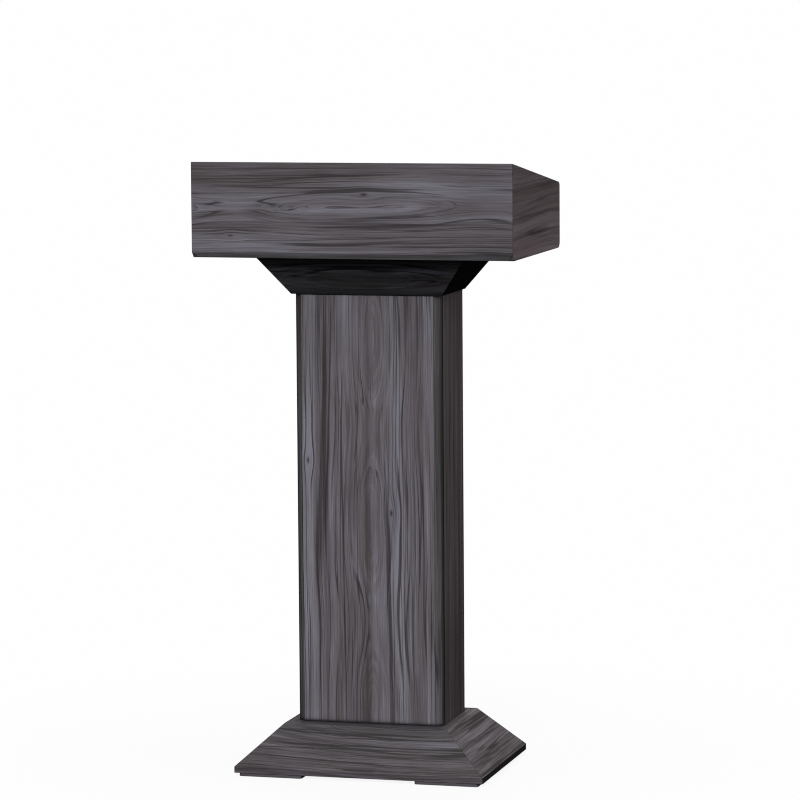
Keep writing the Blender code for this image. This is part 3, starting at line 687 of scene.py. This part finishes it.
def foot_band(normal, centre):
    return max(abs(normal.x), abs(normal.y)) > 0.98 and centre.z < 0.02


# faces of the front groove, which get a painted shadow
def front_groove(normal, centre):
    return centre.y < -0.0620 and 0.1300 < abs(centre.x) < 0.1384


# ------------------------------------------------------------------ pieces
def four_panels(pattern, woods, out, rise_y, rise_x, **options):
    """Leaning panels on all four sides. out and rise are the horizontal and vertical parts of
    the outward normal: rise_y for front and back, rise_x for left and right."""
    for side, face, grain in (("front", (0, -out, rise_y), X), ("back", (0, out, rise_y), X),
                              ("left", (-out, 0, rise_x), Y), ("right", (out, 0, rise_x), Y)):
        refined(pattern % side, woods[side], grain, face, **options)


def head():
    refined("head_front_board", WOOD["head_front"], X, FRONT, origin=(0, -0.185, 1.043),
            strip=low_chamfer)
    refined("head_left_side", WOOD["head_left"], Y, LEFT, strip=low_chamfer)
    refined("head_right_side", WOOD["head_right"], Y, X, strip=low_chamfer)
    refined("desktop", WOOD["desktop"], X, DESK_NORMAL)
    refined("paper_stop", WOOD["stop"], X, Y)
    refined("head_bottom_board", WOOD["head_bottom"], X, DOWN)


def neck():
    woods = dict.fromkeys(("back", "left", "right"), WOOD["neck_side"])
    woods["front"] = WOOD["neck_front"]
    four_panels("neck_%s_panel", woods, out=0.0734, rise_y=-0.047, rise_x=-0.056)


def column():
    refined("column_front_panel", WOOD["column_front"], Z, FRONT, strip=upright_chamfer)
    refined("column_left_panel", WOOD["column_left"], Z, LEFT, strip=front_groove)
    refined("column_right_panel", WOOD["column_right"], Z, X, strip=front_groove)
    refined("column_door", WOOD["column_door"], Z, Y)


def base():
    woods = {side: WOOD["base_" + side] for side in ("front", "back", "left", "right")}
    four_panels("base_%s_skirt", woods, out=0.0745, rise_y=0.0555, rise_x=0.0805,
                bevel=0.0005, strip=foot_band)
    refined("base_top_board", WOOD["base_top"], X, Z)
    for side in ("left", "right"):
        for end in ("front", "back"):
            refined("foot_%s_%s" % (end, side), WOOD["foot"], X, FRONT)


def drawer_and_inner_boards():
    refined("drawer_front", WOOD["drawer_front"], X, Y, bevel=0.0006)
    refined("drawer_pull", SATIN_BLACK, X, Y, bevel=0.0002)
    for node in ("drawer_left_side", "drawer_right_side"):
        refined(node, INNER_BOARD, Y, X, bevel=0.0004)
    for node in ("drawer_bottom", "drawer_back", "column_top_board", "column_bottom_board",
                 "column_shelf", "base_bottom_board"):
        refined(node, INNER_BOARD, X, Z, bevel=0.0005)


def battens():
    for node in ("desktop_left_cleat", "desktop_right_cleat"):
        refined(node, SOFTWOOD, Y, Z)
    for node in ("neck_left_bearer", "neck_right_bearer", "base_left_rail", "base_right_rail"):
        refined(node, SOFTWOOD, Y, X)


def fittings():
    for side in ("left", "right"):
        for part in ("outer", "middle", "inner"):
            refined("slide_%s_%s" % (side, part), STEEL, Y, X, bevel=0.0002, segments=1)
    for level in ("lower", "upper"):
        for leaf in ("frame_leaf", "door_leaf"):
            refined("hinge_%s_%s" % (level, leaf), STEEL, Z, X, bevel=0.0)
    refined("catch_magnet", PLASTIC, X, Z, bevel=0.0006)
    refined("catch_strike", STEEL, X, Z, bevel=0.00015, segments=1)


# Lower half of a hinge pin: (radius, along) in mm
HINGE_PIN_HALF = [(0, -33.2), (1.3, -33.2), (2.1, -33.0), (2.6, -32.5),
                  (2.7, -31.9), (2.7, -30.7), (2.5, -30.4), (1.5, -30.4)]

# Door knob from its foot to its crown: (radius, along) in mm
KNOB_FOOT = 0.3
KNOB_OUTLINE = [(0, KNOB_FOOT), (6.4, KNOB_FOOT), (6.9, 0.7), (6.9, 1.6), (6.4, 2.2),
                (5.4, 2.8), (4.9, 4.0), (4.8, 6.0), (5.1, 8.0), (6.0, 9.8), (7.8, 11.4),
                (10.2, 12.9), (12.3, 14.5), (13.5, 16.2), (14.0, 18.0), (13.8, 19.6),
                (13.0, 20.8), (11.6, 21.7), (9.4, 22.3), (6.0, 22.6), (0, 22.6)]


def hinge_pins():
    for level in ("lower", "upper"):
        node = "hinge_%s_pin" % level
        turned(node, BODY_OF[node], "Z", mirrored(HINGE_PIN_HALF), STEEL, grain=Z, face=X,
               centre=box_centre(node))


def shelf_pins():
    for side in ("left", "right"):
        for end in ("front", "back"):
            node = "shelf_pin_%s_%s" % (side, end)
            low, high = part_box(node)
            half = (high.x - low.x) / 2 / MM
            outline = mirrored([(0, -half), (1.7, -half), (2.2, -half + 0.15),
                                (2.4, -half + 0.5)])
            turned(node, BODY_OF[node], "X", outline, STEEL, grain=X, face=Z,
                   centre=(low + high) / 2)


def door_knob():
    low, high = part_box("door_knob")
    centre = ((low.x + high.x) / 2, low.y - KNOB_FOOT * MM, (low.z + high.z) / 2)
    turned("door_knob", "door", "Y", KNOB_OUTLINE, KNOB_STEEL, grain=X, face=Y,
           centre=centre, segments=96)


for build in (head, neck, column, base, drawer_and_inner_boards, battens, fittings,
              hinge_pins, shelf_pins, door_knob):
    build()


# ------------------------------------------------------------------ floor, light, camera
STUDIO_WHITE = (0.995, 0.995, 0.995)


def floor():
    """Floor that takes a faint shadow near the lectern and glows white further out."""
    bm = bmesh.new()
    bmesh.ops.create_grid(bm, x_segments=2, y_segments=2, size=40.0)
    obj = link_mesh("studio_floor", bm)
    material = bpy.data.materials.new("pale_floor")
    t = Graph(material, "ShaderNodeOutputMaterial")
    matt = t.node("ShaderNodeBsdfDiffuse", {"Color": (0.86, 0.86, 0.87)})
    glow = t.node("ShaderNodeEmission", {"Color": STUDIO_WHITE, "Strength": 1.0})
    position = t.node("ShaderNodeNewGeometry", output="Position")
    distance = t.node("ShaderNodeVectorMath", {0: position}, "Value", operation="LENGTH")
    glow_share = t.smooth(distance, 0.2, 1.2, to_low=0.90, to_high=1.0)
    t.surface(t.mix_shaders(glow_share, matt, glow))
    obj.data.materials.append(material)
    obj.visible_diffuse = False
    obj.visible_glossy = False


# World brightness: (position from straight down 0 to straight up 1, level)
DOME = [(0.0, 0.02), (0.47, 0.04), (0.55, 0.40), (0.75, 0.75), (1.0, 1.0)]


def studio_world():
    """White to the camera, a soft dome of light to everything else."""
    world = bpy.data.worlds.new("studio")
    scene.world = world
    t = Graph(world, "ShaderNodeOutputWorld")
    seen = t.node("ShaderNodeBackground", {"Color": STUDIO_WHITE})
    direction = t.node("ShaderNodeTexCoord", output="Generated")
    height = t.node("ShaderNodeSeparateXYZ", {0: direction}, "Z")
    dome = t.ramp(t.remap(height, -1.0, 1.0),
                  [(position, (level, level, level * 1.01)) for position, level in DOME])
    lit = t.node("ShaderNodeBackground", {"Color": dome, "Strength": 0.55})
    to_camera = t.node("ShaderNodeLightPath", output="Is Camera Ray")
    t.surface(t.mix_shaders(to_camera, lit, seen))


def softbox(name, place, target, size, power):
    data = bpy.data.lights.new(name, "AREA")
    data.shape = "RECTANGLE"
    data.size, data.size_y = size
    data.energy = power
    obj = bpy.data.objects.new(name, data)
    obj.location = place
    aim = Vector(target) - Vector(place)
    obj.rotation_euler = aim.to_track_quat("-Z", "Y").to_euler()
    scene.collection.objects.link(obj)
    return obj


def lights():
    softbox("key", place=(0.5, -5.2, 3.7), target=(0, 0, 0.6), size=(2.4, 1.8), power=250.0)
    softbox("right_fill", place=(5.2, -0.9, 2.2), target=(0, 0, 0.6), size=(2.2, 2.2),
            power=62.0)
    back = softbox("back_fill", place=(-1.6, 4.2, 2.6), target=(0, 0, 0.7), size=(2.0, 1.6),
                   power=90.0)
    back.visible_glossy = False


def photo_camera(place, azimuth, pitch, roll, focal_length):
    """Camera at place, turned by azimuth from +Y toward -X and pitched down (degrees, mm)."""
    azimuth, pitch, roll = [math.radians(angle) for angle in (azimuth, pitch, roll)]
    forward = Vector((-math.sin(azimuth) * math.cos(pitch),
                      math.cos(azimuth) * math.cos(pitch), -math.sin(pitch)))
    level_right = Vector((math.cos(azimuth), math.sin(azimuth), 0.0))
    level_up = level_right.cross(forward)
    right = level_right * math.cos(roll) + level_up * math.sin(roll)
    up = level_up * math.cos(roll) - level_right * math.sin(roll)
    data = bpy.data.cameras.new("photo_camera")
    data.sensor_width = 36.0
    data.lens = focal_length
    data.shift_x = -0.001
    data.clip_end = 200.0
    camera = bpy.data.objects.new("photo_camera", data)
    pose = Matrix((right, up, -forward)).transposed().to_4x4()
    pose.translation = place
    camera.matrix_world = pose
    scene.collection.objects.link(camera)
    scene.camera = camera


floor()
studio_world()
lights()
photo_camera(place=(1.9912, -7.1559, 1.4844), azimuth=15.245, pitch=6.161, roll=-0.403,
             focal_length=182.0205)
